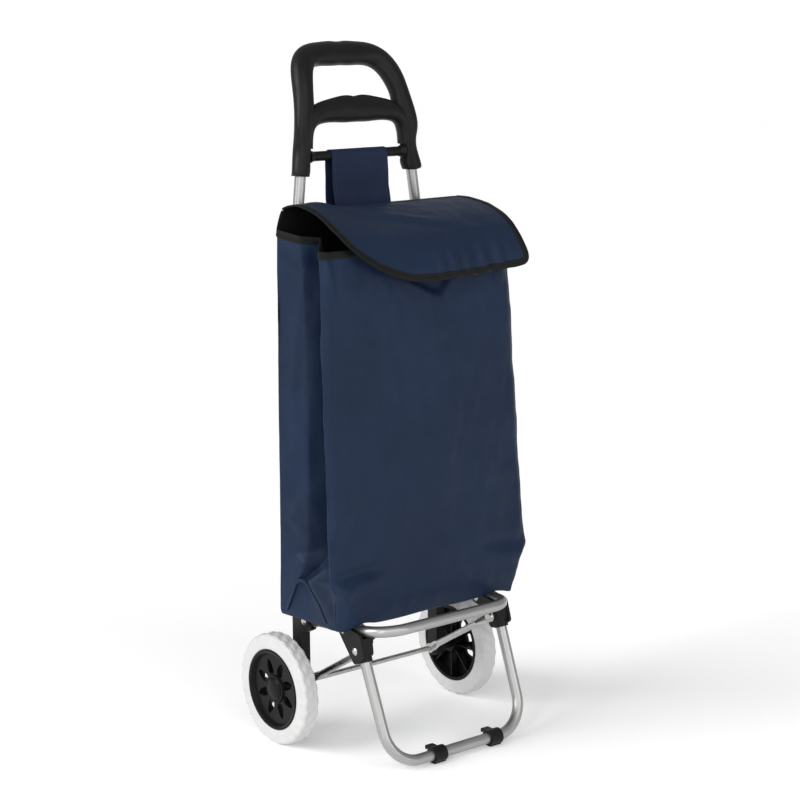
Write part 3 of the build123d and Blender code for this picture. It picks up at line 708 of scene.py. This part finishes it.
def drape(points, s):
    """Places (y, z) at distances s along one of the drape lines, rounded at its points."""
    p = resample(smooth_line(resample(points, 3.0), 6), 1.0)
    at = path_lengths(p)
    return np.stack([np.interp(s, at, p[:, 0]), np.interp(s, at, p[:, 1])], -1)


def flap_point(x, s):
    """Point of the draped cloth at width x and distance s from the sewn edge."""
    x, s = np.asarray(x, float), np.asarray(s, float)
    t = (x + 160.0) / 340.0
    left, mid, right = drape(DRAPE_LEFT, s), drape(DRAPE_MIDDLE, s), drape(DRAPE_RIGHT, s)
    a = smooth_step(1.0 - t / 0.42)[..., None]
    b = smooth_step((t - 0.62) / 0.38)[..., None]
    yz = left * a + right * b + mid * (1 - a - b)
    y, z = yz[..., 0], yz[..., 1]
    loose = smooth_step(s / 30.0)
    flat = np.stack([x, s * 0.9, np.zeros_like(x)], -1)
    z = z + 1.7 * fractal(flat, 64.0, 11.0) * loose
    z = z + 0.6 * fractal(flat, 20.0, 12.0) * loose
    # a diagonal fold across the top
    line = (s - 40.0) - 0.34 * (x + 105.0)
    z = z + 2.6 * lump(line, 9.0) * lump(x + 25.0, 85.0)
    z = z - 1.6 * lump(line - 17.0, 11.0) * lump(x + 20.0, 85.0)
    # a lift at the rear left
    z = z + 4.5 * lump(x + 112.0, 24.0) * lump(s - 24.0, 22.0) + corner_lift(x) * lump(s, 16.0)
    # shallow gathers along the front edge
    hang = smooth_step((s - 120.0) / 50.0)
    ripple = np.sin((x - 40.0) / 27.0 * 2 * math.pi + 0.5 * np.sin(x / 31.0))
    reach = smooth_step((x + 5.0) / 40.0) * (1 - smooth_step((x - 132.0) / 26.0))
    y = y - 1.7 * ripple * hang * reach
    y = y - 2.2 * np.sin((x + 30.0) / 96.0 * math.pi) * hang
    return np.stack([x, y, z], -1)


def flap_grid():
    """Widths x and distances s of the flap's points; the rows stand closer at its front."""
    s = np.concatenate([np.linspace(0.0, CURL_S, FLAP_TOP_ROWS),
                        np.linspace(CURL_S, FLAP_LENGTH, FLAP_CURL_ROWS + 1)[1:]])
    xl = np.interp(s, FLAP_LEFT[:, 0], FLAP_LEFT[:, 1])
    xr = np.interp(s, FLAP_RIGHT[:, 0], FLAP_RIGHT[:, 1])
    u = np.linspace(0.0, 1.0, FLAP_COLS)
    x = xl[:, None] + (xr - xl)[:, None] * u[None, :]
    return x, np.broadcast_to(s[:, None], x.shape)


flap_x, flap_s = flap_grid()
FLAP_THICK = 1.1
flap = make_object("flap_cloth", flap_point(flap_x, flap_s), grid_faces(*flap_x.shape, flip=True),
                   np.stack([flap_x, flap_s], -1), (cloth, coating))
modifier(flap, "SOLIDIFY", thickness=FLAP_THICK * MM, offset=-1.0, material_offset=1,
         material_offset_rim=1)
subdivided(flap)
rides(flap, "flap", "bag_cloth", "flap")

# the tape runs down the left side, along the front and up the right side
outline = np.vstack([FLAP_LEFT[:, ::-1], FLAP_RIGHT[::-1][:, ::-1]])
outline = smooth_line(resample(outline, 3.0), 4)
inner = unit(np.stack([-np.gradient(outline[:, 1]), np.gradient(outline[:, 0])], 1))
if inner[len(inner) // 2, 1] > 0:      # at the front edge, inwards is back towards the seam
    inner = -inner
edge = flap_point(outline[:, 0], outline[:, 1])
inside = outline + inner * 5.0
flap_inward = unit(flap_point(inside[:, 0], inside[:, 1]) - edge)
tangent = unit(np.gradient(edge, axis=0))
flap_normal = unit(np.cross(flap_inward, tangent))
flap_normal *= np.sign((flap_normal * (0, -1, 1)).sum(1))[:, None]
edge = edge - flap_normal * FLAP_THICK / 2
flap_tape = tape_strip("flap_edge_tape", edge, flap_inward, flap_normal, width=9.5, thick=1.5,
                       mat=tape)
rides(flap_tape, "flap", "binding_tape", "flap_binding")
flap_thread = stitches("flap_edge_stitching", edge + flap_inward * 7.8, flap_normal, thread_dark,
                       lift=1.42)
rides(flap_thread, "flap", "binding_tape")


# strip sewn to the back wall and to the underside's edge of the flap
seam_x = np.linspace(-152.0, 158.0, 80)
seam_top = RISER_Z + corner_lift(seam_x)
seam_on_flap = [flap_point(seam_x, np.full_like(seam_x, s)) + (0.0, 0.0, 0.25)
                for s in (1.0, 3.0, 6.0, 9.0)]
seam_on_wall = [np.stack([seam_x, np.full_like(seam_x, BACK_Y + y), seam_top - drop], -1)
                for y, drop in ((0.9, 9.0), (0.9, 6.0), (1.1, 3.0), (1.7, 0.8))]
seam_pts = np.array(seam_on_wall + seam_on_flap)
SEAM_WIDTH = 18.0
seam_uv = np.stack(np.broadcast_arrays(
    seam_x[None, :], np.linspace(0.0, SEAM_WIDTH, len(seam_pts))[:, None]), -1)
seam = make_object("flap_seam_strip", seam_pts, grid_faces(*seam_pts.shape[:2], flip=True),
                   seam_uv, (cloth, coating))
modifier(seam, "SOLIDIFY", thickness=0.6 * MM, offset=0.0, material_offset=1)
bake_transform(seam)


# ---------------------------------------------------------------- hanger loop over the rod
ROD_Y, ROD_Z, ROD_R = 22.6, 846.0, 7.4
STRAP_HALF = 50.0                      # half the strap's width
STRAP_COLS = 41
STRAP_SEWN, STRAP_FREE = 24.0, 40.0    # length sewn to the bag, and over which it comes free


def strap_line():
    """Side view of the loop as (y, z): up the front, over the rod and down the back."""
    reach = ROD_R + 0.9
    arc = [(ROD_Y - reach * math.cos(a), ROD_Z + reach * math.sin(a))
           for a in np.linspace(0.0, math.pi, 13)]
    front = [(-9.3, 669.0), (-9.4, 690.0), (-7.6, 712.0), (6.5, 770.0),
             (ROD_Y - ROD_R - 2.2, 800.0)]
    back = [(ROD_Y + ROD_R + 1.4, 800.0), (ROD_Y + ROD_R + 0.4, 779.0), (8.0, 730.0),
            (-5.2, 700.0), (-7.3, 688.0), (-7.4, 669.0)]
    return resample(smooth_line(resample(front + arc + back, 1.5), 5), 3.0)


strap_side = strap_line()
strap_s = path_lengths(strap_side)
across = np.linspace(-1.0, 1.0, STRAP_COLS)
strap_pts = np.zeros((len(strap_side), STRAP_COLS, 3))
strap_pts[..., 0] = across[None, :] * STRAP_HALF
strap_pts[..., 1:] = strap_side[:, None, :]
slope = unit(np.gradient(strap_side, axis=0))
strap_out = np.stack([np.zeros(len(slope)), -slope[:, 1], slope[:, 0]], 1)
free = smooth_step((strap_s - STRAP_SEWN) / STRAP_FREE)
free *= smooth_step((strap_s[-1] - STRAP_SEWN - strap_s) / STRAP_FREE)
free *= 1.0 - 0.85 * lump(strap_s - strap_s[np.argmax(strap_side[:, 1])], 22.0)
wave = 1.5 * fractal(strap_pts * (1.0, 0.4, 0.6), 46.0, 21.0) + 1.2 * (across ** 2 - 0.4)
strap_pts += strap_out[:, None, :] * (wave * free[:, None])[..., None]
strap_uv = np.stack(np.broadcast_arrays(across[None, :] * STRAP_HALF, strap_s[:, None]), -1)
strap = make_object("hanger_strap", strap_pts, grid_faces(*strap_pts.shape[:2]), strap_uv,
                    (strap_cloth,))
modifier(strap, "SOLIDIFY", thickness=1.3 * MM, offset=0.0)
modifier(strap, "BEVEL", width=0.4 * MM, segments=2, limit_method="ANGLE")
rides(strap, "frame", "strap_cloth", "bag_strap")
for name, column in (("left", 2), ("right", -3)):
    thread = stitches(f"hanger_strap_stitching_{name}", strap_pts[:, column], strap_out,
                      thread_navy, lift=0.75)
    rides(thread, "frame", "strap_cloth")


# the pieces of the bag and of the flap each get a mesh of their own
for keep, pieces in ((0.06, (bag_body, base)), (0.07, (hem, hem_thread, *welts)),
                     (0.20, (flap, flap_tape, flap_thread))):
    for piece in pieces:
        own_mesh(piece)


# ---------------------------------------------------------------- tyres
TYRE_HALF, TYRE_SEAT = 13.5, 59.6      # half the width, and the radius of the seat on the hub
TREAD_BLOCKS, TYRE_STEPS = 26, 288
SHOULDER_R = 6.6


def zigzag(turn):
    """Falls from 1 at a whole number of turns to 0 half way to the next."""
    return abs((turn % 1.0) - 0.5) * 2.0


def tyre(side):
    """Foam tyre: round-shouldered ring with the moulded zigzag blocks of the tread."""
    half = TYRE_HALF
    wall = [(TYRE_SEAT, -half + 1.0), (61.0, -half + 0.15), (68.0, -half), (74.5, -half + 0.3)]
    shoulder = [(75.5 + SHOULDER_R * math.sin(a), -half + SHOULDER_R - SHOULDER_R * math.cos(a))
                for a in np.linspace(0.15, math.pi / 2 - 0.12, 7)]
    flank = wall + shoulder
    profile = resample(flank + [(WHEEL_R - 0.35, 0.0)] + [(r, -w) for r, w in flank[::-1]], 1.35)
    profile = np.vstack([profile, [(TYRE_SEAT, 6.0), (TYRE_SEAT, -6.0)]])
    verts = np.zeros((TYRE_STEPS, len(profile), 3))
    for i in range(TYRE_STEPS):
        a = 2 * math.pi * i / TYRE_STEPS
        turn = TREAD_BLOCKS * i / TYRE_STEPS
        for k, (r, w) in enumerate(profile):
            block = smooth_step((zigzag(turn + 0.55 * w / half) - 0.36) / 0.24)
            belt = 1.0 - 0.8 * lump(abs(w) - 4.6 - 1.9 * (zigzag(turn) - 0.5), 1.1)
            relief = (block * belt - 1.0) * 1.15 * smooth_step((r - 66.0) / 8.0)
            facet = 0.45 * (zigzag(2 * turn) - 0.5) * smooth_step((r - 62.0) / 6.0)
            on_wall = abs(w) > half - 3.5
            dr = relief * (0.25 if on_wall else 1.0)
            dw = (relief * 0.75 + facet - 0.2) * (1.0 if on_wall else 0.3) * np.sign(w)
            if r <= TYRE_SEAT + 0.6:
                dr = dw = 0.0
            verts[i, k] = (side * (WHEEL_X + w + dw), (r + dr) * math.sin(a),
                           WHEEL_R + (r + dr) * math.cos(a))
    faces = grid_faces(*verts.shape[:2], close_rows=True, close_cols=True, flip=side < 0)
    return make_object("tyre_foam_" + ("right" if side > 0 else "left"), verts, faces, None,
                       (foam,))


for name, side in (("left", -1), ("right", 1)):
    rides(tyre(side), f"wheel_{name}", "foam_tyre", f"tyre_{name}")


# ---------------------------------------------------------------- floor, light and camera
def light(name, kind):
    obj = bpy.data.objects.new(name, bpy.data.lights.new(name, kind))
    bpy.context.collection.objects.link(obj)
    return obj


def lamp(name, size, power, where, look_at):
    """Rectangular soft box, in metres."""
    obj = light(name, "AREA")
    obj.data.shape, obj.data.energy = "RECTANGLE", power
    obj.data.size, obj.data.size_y = size
    obj.location = where
    obj.rotation_euler = (Vector(look_at) - Vector(where)).to_track_quat("-Z", "Y").to_euler()


def broad_light(name, energy, spread, direction):
    """Even light from far away; spread is the width of its source in degrees."""
    obj = light(name, "SUN")
    obj.data.energy, obj.data.angle = energy, math.radians(spread)
    obj.rotation_euler = Vector(direction).to_track_quat("Z", "Y").to_euler()


floor_mat = Nodes("pale_floor", Roughness=0.75, Specular_IOR_Level=0.2,
                  Emission_Color=(1.0, 1.0, 1.0, 1.0), Emission_Strength=0.14)
floor_tone = floor_mat.ramp(floor_mat.noise("Object", 2.0), "Fac", [(0.3, 0.94), (0.7, 0.96)])
bpy.ops.mesh.primitive_plane_add(size=30.0, location=(0.0, 0.0, 0.0))
floor = bpy.context.object
floor.name = "floor"
floor.data.materials.append(floor_mat.done(floor_tone))

sky = bpy.data.worlds.new("studio")
bpy.context.scene.world = sky
sky.use_nodes = True
back = sky.node_tree.nodes["Background"]
back.inputs["Color"].default_value = (1.0, 1.0, 1.0, 1.0)
# the room is plain white to look at, but lights the object less than that
seen = sky.node_tree.nodes.new("ShaderNodeLightPath")
level = sky.node_tree.nodes.new("ShaderNodeMapRange")
LIT_BY, LOOKS_LIKE = 0.42, 1.05
level.inputs["To Min"].default_value = LIT_BY
level.inputs["To Max"].default_value = LOOKS_LIKE
sky.node_tree.links.new(seen.outputs["Is Camera Ray"], level.inputs["Value"])
sky.node_tree.links.new(level.outputs["Result"], back.inputs["Strength"])


broad_light("key_left", 2.3, 40.0, (-0.85, 0.25, 0.52))
broad_light("fill_front", 1.0, 60.0, (-0.20, -0.85, 0.45))
lamp("strip_left", (0.30, 2.2), 12.0, (-1.9, -1.2, 1.1), (0.0, 0.0, 0.45))
lamp("strip_front", (0.35, 1.0), 5.0, (0.95, -2.45, 0.75), (0.0, 0.0, 0.50))
bpy.context.scene.view_settings.view_transform = "Standard"
bpy.context.scene.view_settings.look = "None"

# The photograph's camera, fitted to the object's outlines: what it looks at and how far off it is
# in the drawing's millimetres, its direction and roll, and its lens in millimetres.
TARGET = Vector((-24.65, -104.99, 506.56))
AZIMUTH, ELEVATION, ROLL = math.radians(-38.72), math.radians(11.22), -0.0066
DISTANCE, LENS, SENSOR = 2796.9, 88.78, 36.0
back_way = Vector((math.sin(AZIMUTH) * math.cos(ELEVATION),
                   -math.cos(AZIMUTH) * math.cos(ELEVATION), math.sin(ELEVATION)))
camera = bpy.data.objects.new("camera", bpy.data.cameras.new("camera"))
bpy.context.collection.objects.link(camera)
camera.data.lens, camera.data.sensor_width = LENS, SENSOR
camera.data.clip_start, camera.data.clip_end = 0.05, 60.0
camera.location = Vector(world(TARGET + back_way * DISTANCE))
turn = (-back_way).to_track_quat("-Z", "Y").to_matrix().to_4x4()
camera.rotation_euler = (turn @ Matrix.Rotation(ROLL, 4, "Z")).to_euler()
bpy.context.scene.camera = camera
